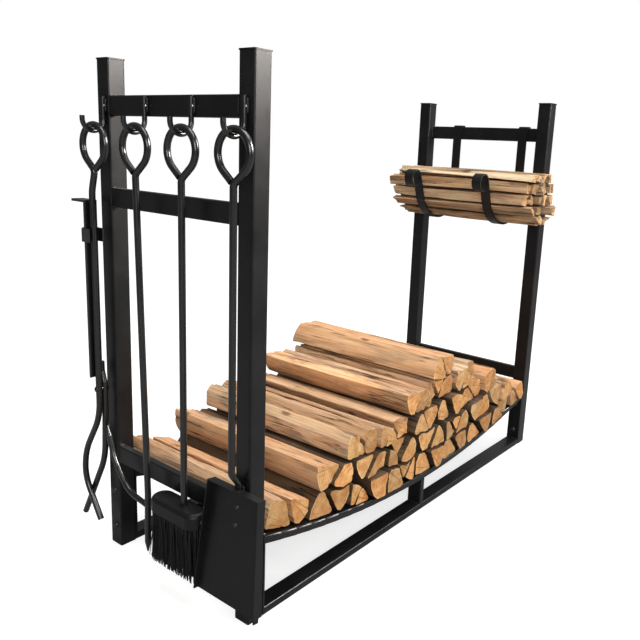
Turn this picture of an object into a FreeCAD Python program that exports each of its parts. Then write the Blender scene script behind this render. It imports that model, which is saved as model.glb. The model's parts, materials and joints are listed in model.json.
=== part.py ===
import FreeCAD, Part
import math
import os
import random

# A floor-standing firewood rack with four fireplace tools, two kindling holders and its load of wood.
# Millimetres. +X runs from the tool end to the kindling end, +Y to the rear, +Z up, floor at Z = 0.
# Every piece is built about the middle of the frame's footprint. The last step moves the whole model
# so that the origin is at the bottom centre of its bounding box.

# ---- driving dimensions ----
length = 874.0            # over the outer faces of the posts
depth = 326.0             # over the front and rear faces of the posts
height = 762.0            # floor to the top of the post caps

post_size = 28.0          # square tube of the posts
post_wall = 1.5
post_corner = 2.5
cap_thickness = 2.0
cap_overhang = 0.8
cap_plug_length = 10.0
cap_plug_gap = 0.15

bar_width = 28.0          # flat tube of the bars, rails and arcs
bar_thick = 12.0
bar_wall = 1.2
bar_corner = 2.0
bar_heights = {"top": 682.0, "second": 552.0, "lower": 147.0}   # underside of each end-frame bar

plate_thick = 3.0         # plate at each end of a side assembly, bolted to the post
plate_height = 128.0      # top of the end plates above the floor
arc_low = 61.0            # underside of the log arc at mid length
arc_rise = 50.0           # how much higher its ends are
bolt_size = 6.0
bolt_stand_out = 1.5      # how far the shank comes through the post, into its nut
bolt_hole = 6.4
bolt_levels = [32.5, 95.0]
bolt_head_width = 10.5
bolt_head_height = 3.3
nut_height = 4.3

# ---- tool hooks and tools ----
hook_rod = 7.0
front_hook_out = 0.5      # the shovel's hook, outside the middle of the front post
rear_hook_in = 5.1        # the tongs' hook, inside the middle of the rear post
hook_top = 708.0
hook_bottom = 656.5       # lowest point of the bend
hook_bend = 16.5          # centre-line radius of the bend
hook_tip_rise = 4.0       # straight end above the bend

tool_rod = 9.5
ring_radius = 28.25       # centre line of a tool's ring
ring_neck = 36.5          # ring centre down to where its two limbs meet
neck_bend = 9.0
hang_gap = 0.4            # between a hook's rod and the ring that hangs on it
weld_gap = 0.3            # between a cut end and the shaft it is tacked to
pieces_gap = 0.3          # between pieces that move past each other
shaft_crank = 30.0        # height over which the tongs' shaft runs from its arm to the middle of its ring

poker_turns = [(-0.1125, 42.0), (-0.138, 138.0)]          # tip and bend: share of the hooks' pitch, level
barb_root = 118.0                                         # level at which the barb leaves the shaft
barb_turns = [(36.0, 124.0), (72.0, 168.0), (87.0, 216.0)]   # its two bends and its tip
barb_rod = 8.5
point_length = 16.0       # ground point of the poker and its barb
point_end = 1.2           # radius left at a ground point

brush_head_share = 1.043  # the head's length, as a share of the hooks' pitch
brush_head_width = 36.0
brush_head_bottom = 128.0
brush_head_top = 150.0
brush_head_crown = 7.0    # rounding of its top edge
brush_offset_share = 0.1278       # the head's middle from its shaft, as such a share
brush_socket_depth = 14.0
bristle_bottom = 45.0
bristle_inset = 2.5
set_screw_size = 4.0
set_screw_length = 11.0
set_screw_level = 137.0
set_screw_head = 6.8
set_screw_head_height = 1.6

pan_top = 205.0
pan_tip = 41.0
pan_top_share = 0.501     # half the pan's width, as a share of the hooks' pitch
pan_tip_share = 0.6135
pan_sheet = 1.5
pan_lip_top = 14.0        # depth of the pan's sides at its back
pan_lip_tip = 9.0
pan_tilt = 7.3            # degrees from upright, tip outwards
pan_clearance = 9.0       # from the post's outer face to the pan's back, at the upper rivet's level
rivet_levels = [179.0, 154.0]
rivet_size = 4.0
rivet_head_width = 8.0
rivet_head_height = 2.2
rivet_tail_width = 7.0
rivet_tail_height = 1.2
tongue_width = 14.0
tongue_thick = 3.0
tongue_bottom = 144.0
crank_top = 229.0         # where the shovel's shaft cranks in behind the pan
crank_bottom = 213.0
crank_setback = 3.0       # the crank's lower run, outside the pan's back
crank_run_in = 6.0        # how far the shaft goes on below the crank

tongs_pivot = 271.0
tongs_arm_offset = 8.6    # the ring arm's line from its ring's centre, along Y
# the jaws' tips and bends: along Y from the ring arm's line, level
ring_jaw_turns = [(7.0, 47.0), (49.0, 110.0), (44.0, 156.0), (0.0, 226.0)]
ring_jaw_bends = [60.0, 100.0, 90.0]
thumb_jaw_turns = [(68.0, 36.0), (5.0, 152.0), (0.0, 235.0)]
thumb_jaw_bends = [110.0, 60.0]
pivot_straight = 6.0      # straight rod of the moving arm above its pivot
lap_start = 8.0           # where that rod meets the strip, and where it ends on it
lap_end = 22.0
thumb_top = 561.0
thumb_reach = 33.0
thumb_corner = 3.0
strip_width = 20.0
strip_thick = 3.5
strip_bottom = 290.0
fork_levels = [500.0, 520.0]
fork_sheet = 2.5
fork_past_arm = 2.0       # how far its cheeks reach past the ring arm
fork_tab_width = 12.0
fork_tab_reach = 11.0
pivot_rivet = 5.0
pivot_gap = 0.05          # running clearance in the moving arm's hole
pivot_outer_head = (9.0, 2.5)     # width and height
pivot_inner_head = (8.5, 1.4)

# ---- kindling holders ----
holder_places = [0.4815, -0.726]      # along Y, as a share of half the far top bar
strap_width = 20.0
strap_thick = 3.0
strap_gap = 0.3           # between a strap and the bar it hangs on
strap_tail = 22.0         # how far the hook comes down behind the bar
cradle_radius = 73.5      # centre line of the J
cradle_level = 581.0
cradle_lean = 20.0        # degrees that the front of the J leans outwards
cradle_front = 48.0       # straight length in front
scroll_radius = 16.5
strap_corner = 3.2

# ---- the load ----
log_length = 348.0
stack_shift = -3.0        # of the stack's pattern, from the middle
log_course = 44.0         # thickness of one course
log_gap = 0.5             # between neighbouring logs
log_seat = 0.3            # between the lowest logs and the arcs
log_jitter = 5.0
log_end_jitter = 7.0      # at the rear; the front ends are more even
log_front_jitter = 4.2
log_skew = 5.6            # how much further the stack stands out in front at its far end
log_courses = [(-13, 13), (-10, 11), (-8, 9), (-3, 6), (0, 3)]   # first and last step of each course
stick_length = 358.0
stick_middle = -26.0      # of the bundle, along Y
stick_seat = 0.6          # between the kindling and its holders
stick_gap = 0.5
stick_end_jitter = 9.0
stick_counts = [3, 5, 6, 6, 5]        # in each row of the heap, from the lowest
stick_levels = [-0.977, -0.7, -0.39, -0.07, 0.24, 0.52]   # the rows' edges, as shares of the J's inner radius
crown_half_widths = {0.24: 0.935, 0.52: 0.64}             # of the heap above the J's centre, as such shares

# ---- worked out from the above ----
half_length = length / 2
half_depth = depth / 2
post_top = height - cap_thickness
rail_y = half_depth - post_size / 2          # middle of a side assembly
bar_end_y = half_depth - post_size           # the bars reach from post to post
inner_face = half_length - post_size         # inner faces of the posts
plate_face = inner_face - plate_thick        # the rails and arcs end here
arc_radius = (plate_face ** 2 + arc_rise ** 2) / (2 * arc_rise)   # underside
arc_centre_z = arc_low + arc_radius
arc_top_radius = arc_radius - bar_thick
hook_leg_x = -half_length - hook_rod / 2
tool_x = hook_leg_x - hook_bend              # the plane that the tools hang in
ring_top = hook_bottom + hook_rod + hang_gap + tool_rod / 2       # centre line of a ring's top
neck_level = ring_top - ring_radius - ring_neck
first_hook_y = -rail_y - front_hook_out
hook_pitch = (rail_y - rear_hook_in - first_hook_y) / 3
hook_ys = [first_hook_y + step * hook_pitch for step in range(4)]
shovel_y, brush_y, poker_y, tongs_y = hook_ys
brush_head_length = brush_head_share * hook_pitch
brush_head_offset = brush_offset_share * hook_pitch
pan_half_top = pan_top_share * hook_pitch
pan_half_tip = pan_tip_share * hook_pitch
pan_back_x = -half_length - pan_clearance
log_step = (plate_face + stack_shift) / log_courses[0][1]          # a log is one step wide, or two


def vector(x, y, z):
    return FreeCAD.Vector(x, y, z)


def block(low, high):
    """A box between two corners."""
    size = vector(*high) - vector(*low)
    return Part.makeBox(size.x, size.y, size.z, vector(*low))


def rounded(shape, radius, direction):
    """Fillet the straight edges that run along one direction."""
    chosen = []
    for edge in shape.Edges:
        if edge.Curve.TypeId == "Part::GeomLine" and abs(edge.tangentAt(0).dot(direction)) > 0.999:
            chosen.append(edge)
    return shape.makeFillet(radius, chosen)


def tube(low, high, wall, corner, direction):
    """A straight rectangular tube, open at both ends along its direction."""
    outer = rounded(block(low, high), corner, direction)
    inset = [0 if abs(direction[axis]) > 0.5 else wall for axis in range(3)]
    hole_low = [low[axis] + inset[axis] for axis in range(3)]
    hole_high = [high[axis] - inset[axis] for axis in range(3)]
    hole = rounded(block(hole_low, hole_high), corner - wall if corner > wall else corner / 2, direction)
    return outer.cut(hole)


def rounded_path(points, radii):
    """Straight runs through the points, joined at each inner point by a tangent arc."""
    edges = []
    start = points[0]
    for index in range(1, len(points) - 1):
        corner = points[index]
        into = (corner - points[index - 1]).normalize()
        out = (points[index + 1] - corner).normalize()
        half_turn = into.getAngle(out) / 2
        radius = radii[index - 1]
        reach = radius * math.tan(half_turn)
        arc_start = corner - into * reach
        arc_end = corner + out * reach
        inward = (out - into).normalize()
        middle = corner + inward * (radius / math.cos(half_turn) - radius)
        if (arc_start - start).Length > 0.01:
            edges.append(Part.LineSegment(start, arc_start).toShape())
        edges.append(Part.Arc(arc_start, middle, arc_end).toShape())
        start = arc_end
    if (points[-1] - start).Length > 0.01:
        edges.append(Part.LineSegment(start, points[-1]).toShape())
    return Part.Wire(edges)


def bent_rod(points, radii, diameter):
    """A round rod bent along the points."""
    path = rounded_path(points, radii)
    heading = points[1] - points[0]
    section = Part.Wire([Part.makeCircle(diameter / 2, points[0], heading)])
    return path.makePipeShell([section], True, True)


def ground_point(base, tip, diameter):
    """The tapered end of a rod."""
    heading = tip - base
    return Part.makeCone(diameter / 2, point_end, heading.Length, base, heading)


def cylinder_x(x_low, x_high, y, z, diameter):
    return Part.makeCylinder(diameter / 2, x_high - x_low, vector(x_low, y, z), vector(1, 0, 0))


def button_head(x_face, outward, y, z, width, rise):
    """A low domed head, flat against the face at x_face."""
    ball_radius = (width ** 2 / 4 + rise ** 2) / (2 * rise)
    centre = vector(x_face + outward * (rise - ball_radius), y, z)
    cut_angle = math.degrees(math.asin((ball_radius - rise) / ball_radius))
    return Part.makeSphere(ball_radius, centre, vector(outward, 0, 0), cut_angle, 90, 360)


# ---- frame ----
def bolt_places():
    """Every bolt: which end, which side, which level."""
    return [(end, side, level) for end in (-1, 1) for side in (-1, 1) for level in bolt_levels]


def post(end, side):
    outer_x = end * half_length
    inner_x = end * inner_face
    y_middle = side * rail_y
    low = (min(outer_x, inner_x), y_middle - post_size / 2, 0)
    high = (max(outer_x, inner_x), y_middle + post_size / 2, post_top)
    shape = tube(low, high, post_wall, post_corner, vector(0, 0, 1))
    for level in bolt_levels:
        shape = shape.cut(cylinder_x(low[0] - 1, high[0] + 1, y_middle, level, bolt_hole))
    return shape


def post_caps():
    caps = []
    for end in (-1, 1):
        for side in (-1, 1):
            x_middle = end * (half_length - post_size / 2)
            y_middle = side * rail_y
            plate_half = post_size / 2 + cap_overhang
            plug_half = post_size / 2 - post_wall - cap_plug_gap
            plate = block((x_middle - plate_half, y_middle - plate_half, post_top),
                          (x_middle + plate_half, y_middle + plate_half, height))
            plate = rounded(plate, post_corner, vector(0, 0, 1))
            plug = block((x_middle - plug_half, y_middle - plug_half, post_top - cap_plug_length),
                         (x_middle + plug_half, y_middle + plug_half, post_top))
            plug = rounded(plug, post_corner - post_wall, vector(0, 0, 1))
            caps.append(plate.fuse(plug))
    return Part.makeCompound(caps)


def cross_bar(end, underside):
    outer_x = end * half_length
    inner_x = end * (half_length - bar_thick)
    low = (min(outer_x, inner_x), -bar_end_y, underside)
    high = (max(outer_x, inner_x), bar_end_y, underside + bar_width)
    return tube(low, high, bar_wall, bar_corner, vector(0, 1, 0))


def bottom_rail(side):
    y_middle = side * rail_y
    low = (-plate_face, y_middle - bar_width / 2, 0)
    high = (plate_face, y_middle + bar_width / 2, bar_thick)
    return tube(low, high, bar_wall, bar_corner, vector(1, 0, 0))


def arc_band(y_low, y_high, under_radius, top_radius, corner):
    """A curved bar between two arcs about the same centre, with upright ends."""
    def point(radius, x):
        return vector(x, y_low, arc_centre_z - math.sqrt(radius ** 2 - x ** 2))
    edges = []
    for radius in (under_radius, top_radius):
        arc = Part.Arc(point(radius, -plate_face), point(radius, 0), point(radius, plate_face))
        edges.append(arc.toShape())
    for x in (-plate_face, plate_face):
        edges.append(Part.LineSegment(point(under_radius, x), point(top_radius, x)).toShape())
    face = Part.Face(Part.Wire(Part.__sortEdges__(edges)))
    band = face.extrude(vector(0, y_high - y_low, 0))
    long_edges = [edge for edge in band.Edges if edge.Length > plate_face]
    return band.makeFillet(corner, long_edges)


def log_arc(side):
    y_middle = side * rail_y
    half = bar_width / 2
    outer = arc_band(y_middle - half, y_middle + half, arc_radius, arc_top_radius, bar_corner)
    hollow = arc_band(y_middle - half + bar_wall, y_middle + half - bar_wall,
                      arc_radius - bar_wall, arc_top_radius + bar_wall, bar_corner - bar_wall)
    return outer.cut(hollow)


def centre_support(side):
    y_middle = side * rail_y
    half_x = bar_thick / 2
    half_y = bar_width / 2
    low = (-half_x, y_middle - half_y, bar_thick)
    high = (half_x, y_middle + half_y, arc_low + 1)
    upright = tube(low, high, bar_wall, bar_corner, vector(0, 0, 1))
    under_arc = Part.makeCylinder(arc_radius, bar_width + 2, vector(0, y_middle - half_y - 1, arc_centre_z),
                                  vector(0, 1, 0))
    return upright.cut(under_arc)


def end_plate(end, side):
    y_middle = side * rail_y
    x_post = end * inner_face
    x_rail = end * plate_face
    low = (min(x_post, x_rail), y_middle - bar_width / 2, 0)
    high = (max(x_post, x_rail), y_middle + bar_width / 2, plate_height)
    shape = rounded(block(low, high), bar_corner, vector(1, 0, 0))
    for level in bolt_levels:
        shape = shape.cut(cylinder_x(low[0] - 1, high[0] + 1, y_middle, level, bolt_hole))
    return shape


def frame_bolts():
    bolts = []
    for end, side, level in bolt_places():
        y = side * rail_y
        under_head = end * plate_face
        outer = end * (half_length + bolt_stand_out)
        shank = cylinder_x(min(under_head, outer), max(under_head, outer), y, level, bolt_size)
        head = button_head(under_head, -end, y, level, bolt_head_width, bolt_head_height)
        bolts.append(shank.fuse(head))
    return Part.makeCompound(bolts)


def frame_nuts():
    nuts = []
    for end, side, level in bolt_places():
        y = side * rail_y
        dome = button_head(end * half_length, end, y, level, bolt_head_width, nut_height)
        far = end * (half_length + bolt_stand_out)
        socket = cylinder_x(min(end * half_length, far), max(end * half_length, far), y, level, bolt_size)
        nuts.append(dome.cut(socket))
    return Part.makeCompound(nuts)


def tool_hook(y):
    """A J of rod, tacked upright on the end frame's outer face, with its open end outwards."""
    bend_level = hook_bottom + hook_rod / 2 + hook_bend
    low_level = bend_level - hook_bend
    tip_x = hook_leg_x - 2 * hook_bend
    points = [vector(hook_leg_x, y, hook_top), vector(hook_leg_x, y, low_level),
              vector(tip_x, y, low_level), vector(tip_x, y, bend_level + hook_tip_rise)]
    return bent_rod(points, [hook_bend, hook_bend], hook_rod)


# ---- tools ----
def ring_points(y, hand):
    """The end of a shaft: up the neck, round the ring and back to the shaft.
    hand is -1 where the shaft runs into the limb on the -Y side, 1 where it is mirrored."""
    splay = math.asin(ring_radius / ring_neck)
    corner_out = (ring_top - neck_level) * math.tan(splay)
    # the cut end stops just short of the neck's bend and of the other limb
    half = tool_rod / 2
    past_bend = neck_bend + half + weld_gap - neck_bend * math.sin(1.5 * splay) / math.cos(splay / 2)
    past_limb = (half * math.cos(splay) + weld_gap / 2) / math.sin(splay)
    cut_short = max(past_bend, past_limb)
    return [vector(tool_x, y, neck_level),
            vector(tool_x, y + hand * corner_out, ring_top),
            vector(tool_x, y - hand * corner_out, ring_top),
            vector(tool_x, y - hand * cut_short * math.sin(splay), neck_level + cut_short * math.cos(splay))]


ring_bends = [neck_bend, ring_radius, ring_radius]


def poker_shaft():
    tip, bend = [vector(tool_x, poker_y + share * hook_pitch, level) for share, level in poker_turns]
    base = tip + (bend - tip).normalize() * point_length
    rod = bent_rod([base, bend] + ring_points(poker_y, -1), [80.0] + ring_bends, tool_rod)
    return rod.fuse(ground_point(base, tip, tool_rod)).removeSplitter()


def poker_barb():
    shaft_y = poker_y + poker_turns[1][0] * hook_pitch
    start = vector(tool_x, shaft_y + tool_rod / 2 + 3 * weld_gap, barb_root)
    low_bend, high_bend, tip = [vector(tool_x, poker_y + along, level) for along, level in barb_turns]
    base = tip + (high_bend - tip).normalize() * point_length
    rod = bent_rod([start, low_bend, high_bend, base], [45.0, 80.0], barb_rod)
    return rod.fuse(ground_point(base, tip, barb_rod)).removeSplitter()


def brush_shaft():
    foot = vector(tool_x, brush_y, brush_head_top - brush_socket_depth)
    return bent_rod([foot] + ring_points(brush_y, -1), ring_bends, tool_rod)


def oblong(y_middle, half_length_y, half_width_x, z_low, z_high):
    """A block with half-round ends, lying along Y."""
    straight = half_length_y - half_width_x
    middle = block((tool_x - half_width_x, y_middle - straight, z_low),
                   (tool_x + half_width_x, y_middle + straight, z_high))
    shape = middle
    for end in (-1, 1):
        centre = vector(tool_x, y_middle + end * straight, z_low)
        shape = shape.fuse(Part.makeCylinder(half_width_x, z_high - z_low, centre))
    return shape.removeSplitter()


def brush_head():
    y_middle = brush_y + brush_head_offset
    shape = oblong(y_middle, brush_head_length / 2, brush_head_width / 2, brush_head_bottom, brush_head_top)
    crown = [edge for edge in shape.Edges if edge.BoundBox.ZMin > brush_head_top - 0.01]
    shape = shape.makeFillet(brush_head_crown, crown)
    socket = Part.makeCylinder(tool_rod / 2, brush_socket_depth + 1,
                               vector(tool_x, brush_y, brush_head_top - brush_socket_depth))
    front = y_middle - brush_head_length / 2
    pilot = Part.makeCylinder(set_screw_size / 2, set_screw_length, vector(tool_x, front, set_screw_level),
                              vector(0, 1, 0))
    return shape.cut(socket).cut(pilot)


def brush_set_screw():
    """The bright screw in the front end of the head."""
    front = brush_y + brush_head_offset - brush_head_length / 2
    shank = Part.makeCylinder(set_screw_size / 2, set_screw_length, vector(tool_x, front, set_screw_level),
                              vector(0, 1, 0))
    head = Part.makeCylinder(set_screw_head / 2, set_screw_head_height,
                             vector(tool_x, front - set_screw_head_height, set_screw_level), vector(0, 1, 0))
    return shank.fuse(head).removeSplitter()


def brush_bristles():
    return oblong(brush_y + brush_head_offset, brush_head_length / 2 - bristle_inset,
                  brush_head_width / 2 - bristle_inset, bristle_bottom, brush_head_bottom)


def pan_place(shape):
    """Tilt a shape that was built upright, with the pan's back face in the plane X = 0."""
    shape.rotate(vector(0, 0, rivet_levels[0]), vector(0, 1, 0), pan_tilt)
    shape.translate(vector(pan_back_x, shovel_y, 0))
    return shape


def rectangle(x_low, x_high, y_low, y_high, z):
    turns = [(x_low, y_low), (x_high, y_low), (x_high, y_high), (x_low, y_high), (x_low, y_low)]
    return Part.makePolygon([vector(x, y, z) for x, y in turns])


def shovel_pan():
    shape = Part.makeLoft([rectangle(-pan_sheet, 0, -pan_half_tip, pan_half_tip, pan_tip),
                           rectangle(-pan_sheet, 0, -pan_half_top, pan_half_top, pan_top)], True, True)
    for side in (-1, 1):
        sections = []
        ends = [(pan_half_tip, pan_lip_tip, pan_tip), (pan_half_top, pan_lip_top, pan_top)]
        for half_width, lip, level in ends:
            edge_y = side * half_width
            inner_y = side * (half_width - pan_sheet)
            sections.append(rectangle(-lip, 0, min(edge_y, inner_y), max(edge_y, inner_y), level))
        shape = shape.fuse(Part.makeLoft(sections, True, True))
    back_wall = block((-pan_lip_top, -pan_half_top, pan_top - pan_sheet), (0, pan_half_top, pan_top))
    shape = shape.fuse(back_wall).removeSplitter()
    for level in rivet_levels:
        shape = shape.cut(cylinder_x(-pan_sheet - 1, 1, 0, level, rivet_size))
    return pan_place(shape)


def shovel_tongue():
    """The flattened end of the shaft, flat on the pan's back."""
    shape = block((0, -tongue_width / 2, tongue_bottom), (tongue_thick, tongue_width / 2, crank_bottom - 2))
    shape = rounded(shape, tongue_width / 2 - 1, vector(1, 0, 0))
    for level in rivet_levels:
        shape = shape.cut(cylinder_x(-1, tongue_thick + 1, 0, level, rivet_size))
    return pan_place(shape)


def shovel_shaft():
    back_x = pan_back_x + math.tan(math.radians(pan_tilt)) * (crank_bottom - rivet_levels[0])
    crank_x = back_x - crank_setback
    end = vector(crank_x, shovel_y, crank_bottom - crank_run_in)
    inner = vector(crank_x, shovel_y, crank_bottom)
    outer = vector(tool_x, shovel_y, crank_top)
    rod = bent_rod([end, inner, outer] + ring_points(shovel_y, -1), [6.0, 10.0] + ring_bends, tool_rod)
    return rod.fuse(shovel_tongue()).removeSplitter()


def shovel_rivets():
    rivets = []
    for level in rivet_levels:
        shank = cylinder_x(-pan_sheet, tongue_thick, 0, level, rivet_size)
        front = button_head(-pan_sheet, -1, 0, level, rivet_head_width, rivet_head_height)
        back = button_head(tongue_thick, 1, 0, level, rivet_tail_width, rivet_tail_height)
        rivets.append(pan_place(shank.fuse(front).fuse(back)))
    return Part.makeCompound(rivets)


arm_y = tongs_y + tongs_arm_offset                       # line of the ring arm
thumb_layer_x = tool_x + tool_rod + pieces_gap           # the moving arm's jaw lies in its own layer
strip_y = arm_y + tool_rod / 2 + pieces_gap              # -Y face of the moving arm's strip


def tongs_ring_arm():
    jaw = [vector(tool_x, arm_y + along, level) for along, level in ring_jaw_turns]
    arm_top = vector(tool_x, arm_y, neck_level - shaft_crank)
    bends = ring_jaw_bends + [40.0] + ring_bends
    rod = bent_rod(jaw + [arm_top] + ring_points(tongs_y, 1), bends, tool_rod)
    hole = cylinder_x(tool_x - tool_rod, tool_x + tool_rod, arm_y, tongs_pivot, pivot_rivet)
    return rod.cut(hole)


def tongs_thumb_arm():
    """The moving arm: a jaw of rod below the pivot, a flat strip with a thumb tab above it."""
    strip_middle = strip_y + strip_thick / 2
    jaw = [vector(thumb_layer_x, arm_y + along, level) for along, level in thumb_jaw_turns]
    upper = [vector(thumb_layer_x, arm_y, tongs_pivot + pivot_straight),
             vector(thumb_layer_x, strip_middle, strip_bottom + lap_start),
             vector(thumb_layer_x, strip_middle, strip_bottom + lap_end)]
    rod = bent_rod(jaw + upper, thumb_jaw_bends + [20.0, 12.0], tool_rod)
    # the rod is lapped on the strip, so it stays clear of the ring arm's layer
    strip = block((tool_x - strip_width / 2, strip_y, strip_bottom),
                  (tool_x + strip_width / 2, strip_y + strip_thick, thumb_top))
    tab = block((tool_x - strip_width / 2, strip_y, thumb_top - strip_thick),
                (tool_x + strip_width / 2, strip_y + strip_thick + thumb_reach, thumb_top))
    tab = rounded(tab, thumb_corner, vector(0, 0, 1))
    hole = cylinder_x(thumb_layer_x - tool_rod, thumb_layer_x + tool_rod, arm_y, tongs_pivot,
                      pivot_rivet + 2 * pivot_gap)
    return rod.fuse(strip).fuse(tab).removeSplitter().cut(hole)


def tongs_guide_fork():
    """A saddle on the moving arm. Its cheeks straddle the ring arm and keep the arms in line."""
    low_z, high_z = fork_levels
    web_low = strip_y + strip_thick
    cheek_in = strip_width / 2 + pieces_gap / 2
    cheek_out = cheek_in + fork_sheet
    web = block((tool_x - cheek_out, web_low, low_z), (tool_x + cheek_out, web_low + fork_sheet, high_z))
    shape = web
    for side in (-1, 1):
        x_in = tool_x + side * cheek_in
        x_out = tool_x + side * cheek_out
        cheek = block((min(x_in, x_out), arm_y - tool_rod / 2 - fork_past_arm, low_z),
                      (max(x_in, x_out), web_low + fork_sheet, high_z))
        shape = shape.fuse(cheek)
    tab = block((tool_x - fork_tab_width / 2, web_low, high_z - fork_sheet),
                (tool_x + fork_tab_width / 2, web_low + fork_tab_reach, high_z))
    return shape.fuse(tab).removeSplitter()


def tongs_pivot_rivet():
    low_x = tool_x - tool_rod / 2
    high_x = thumb_layer_x + tool_rod / 2 + pivot_gap
    shank = cylinder_x(low_x, high_x, arm_y, tongs_pivot, pivot_rivet)
    outer_head = button_head(low_x, -1, arm_y, tongs_pivot, *pivot_outer_head)
    inner_head = button_head(high_x, 1, arm_y, tongs_pivot, *pivot_inner_head)
    return shank.fuse(outer_head).fuse(inner_head)


# ---- kindling holders ----
cradle_x = half_length - bar_thick - strap_gap - strap_thick / 2 - cradle_radius


def kindling_holder(y):
    """A flat strap: over the far top bar, down its inner face, round a J and out into a scroll."""
    bar_top = bar_heights["top"] + bar_width
    over = bar_top + strap_gap + strap_thick / 2
    outer_x = half_length + strap_gap + strap_thick / 2
    inner_x = cradle_x + cradle_radius
    floor = cradle_level - cradle_radius
    lean = math.radians(cradle_lean)
    rise = vector(-math.sin(lean), 0, math.cos(lean))
    left = vector(-math.cos(lean), 0, -math.sin(lean))
    j_end = vector(cradle_x - cradle_radius * math.cos(lean), y, cradle_level - cradle_radius * math.sin(lean))
    # where the leaning front line meets the level of the J's floor
    down = (j_end.z - floor) / rise.z
    front_corner = j_end - rise * down
    scroll_start = j_end + rise * cradle_front
    first = scroll_start + rise * scroll_radius
    second = first + left * (2 * scroll_radius)
    third = second - rise * (2 * scroll_radius)
    last = third - left * scroll_radius
    points = [vector(outer_x, y, over - strap_tail), vector(outer_x, y, over), vector(inner_x, y, over),
              vector(inner_x, y, floor), front_corner, first, second, third, last]
    radii = [strap_corner] * 2 + [cradle_radius] * 2 + [scroll_radius] * 3
    path = rounded_path(points, radii)
    half_t = strap_thick / 2
    half_w = strap_width / 2
    start = points[0]
    corners = [start + vector(-half_t, -half_w, 0), start + vector(half_t, -half_w, 0),
               start + vector(half_t, half_w, 0), start + vector(-half_t, half_w, 0)]
    section = Part.makePolygon(corners + [corners[0]])
    return path.makePipeShell([section], True, False)


# ---- the load ----
def prism(corners, y_low, y_high, gap):
    """A log or stick: an outline in X and Z, drawn in by half the gap, from y_low to y_high."""
    outline = [vector(x, y_low, z) for x, z in corners]
    face = Part.Face(Part.makePolygon(outline + [outline[0]]))
    face = face.makeOffset2D(-gap / 2, 2)
    return face.extrude(vector(0, y_high - y_low, 0))


def stack_point(level, step):
    """A corner of the stack's pattern. Level 0 follows the arcs; the rest are uneven."""
    chance = random.Random(1000 * level + step + 77)
    along = step * log_step + stack_shift
    radius = arc_top_radius - log_seat + log_gap / 2 - level * log_course
    if level > 0:
        along += chance.uniform(-log_jitter, log_jitter)
        radius += chance.uniform(-log_jitter, log_jitter)
    angle = along / arc_top_radius
    return radius * math.sin(angle), arc_centre_z - radius * math.cos(angle)


def log_course_shape(level, first_step, last_step):
    """One course of split logs. They are wedges, wide side down and wide side up by turns."""
    chance = random.Random(500 + level)
    logs = []
    low, high = first_step, first_step
    wide_below = level % 2 == 0
    while low < last_step or high < last_step:
        next_low = min(low + (2 if wide_below else 1), last_step)
        next_high = min(high + (1 if wide_below else 2), last_step)
        if last_step - next_low < 1 or last_step - next_high < 1:
            next_low = last_step
            next_high = last_step
        corners = [stack_point(level, step) for step in range(low, next_low + 1)]
        corners += [stack_point(level + 1, step) for step in range(next_high, high - 1, -1)]
        middle_x = corners[0][0]
        overhang = log_skew * middle_x / plate_face
        front = -log_length / 2 - overhang + chance.uniform(-log_front_jitter, log_front_jitter)
        back = log_length / 2 + chance.uniform(-log_end_jitter, log_end_jitter)
        logs.append(prism(corners, front, back, log_gap))
        low, high = next_low, next_high
        wide_below = not wide_below
    return Part.makeCompound(logs)


def stick_x(half_width, fraction):
    """A place across the heap, which reaches from the front of the J to the posts."""
    left = cradle_x - half_width
    right = min(cradle_x + half_width, inner_face - stick_seat)
    return left + (right - left) * (fraction + 1) / 2


def kindling_sticks():
    chance = random.Random(91)
    reach = cradle_radius - strap_thick / 2 - stick_seat + stick_gap / 2
    sticks = []
    for row, count in enumerate(stick_counts):
        halves = []
        for level in stick_levels[row:row + 2]:
            halves.append(reach * crown_half_widths.get(level, math.sqrt(1 - min(level, 0) ** 2)))
        for index in range(count):
            fractions = [-1 + 2 * index / count, -1 + 2 * (index + 1) / count]
            low_z = cradle_level + reach * stick_levels[row]
            high_z = cradle_level + reach * stick_levels[row + 1]
            corners = [(stick_x(halves[0], fractions[0]), low_z), (stick_x(halves[0], fractions[1]), low_z),
                       (stick_x(halves[1], fractions[1]), high_z), (stick_x(halves[1], fractions[0]), high_z)]
            middle = stick_middle + chance.uniform(-stick_end_jitter, stick_end_jitter)
            half = stick_length / 2 + chance.uniform(-stick_end_jitter, stick_end_jitter) / 2
            sticks.append(prism(corners, middle - half, middle + half, stick_gap))
    return Part.makeCompound(sticks)


# ---- every piece by name ----
pieces = {}
for end, end_name in ((-1, "near"), (1, "far")):
    for side, side_name in ((-1, "front"), (1, "rear")):
        pieces[end_name + "_" + side_name + "_post"] = post(end, side)
        pieces[end_name + "_" + side_name + "_end_plate"] = end_plate(end, side)
    for bar_name, underside in bar_heights.items():
        pieces[end_name + "_" + bar_name + "_bar"] = cross_bar(end, underside)
for side, side_name in ((-1, "front"), (1, "rear")):
    pieces[side_name + "_bottom_rail"] = bottom_rail(side)
    pieces[side_name + "_log_arc"] = log_arc(side)
    pieces[side_name + "_centre_support"] = centre_support(side)
pieces["post_caps"] = post_caps()
pieces["frame_bolts"] = frame_bolts()
pieces["frame_nuts"] = frame_nuts()
for hook_name, hook_y in zip(("shovel", "brush", "poker", "tongs"), hook_ys):
    pieces[hook_name + "_hook"] = tool_hook(hook_y)

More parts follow.
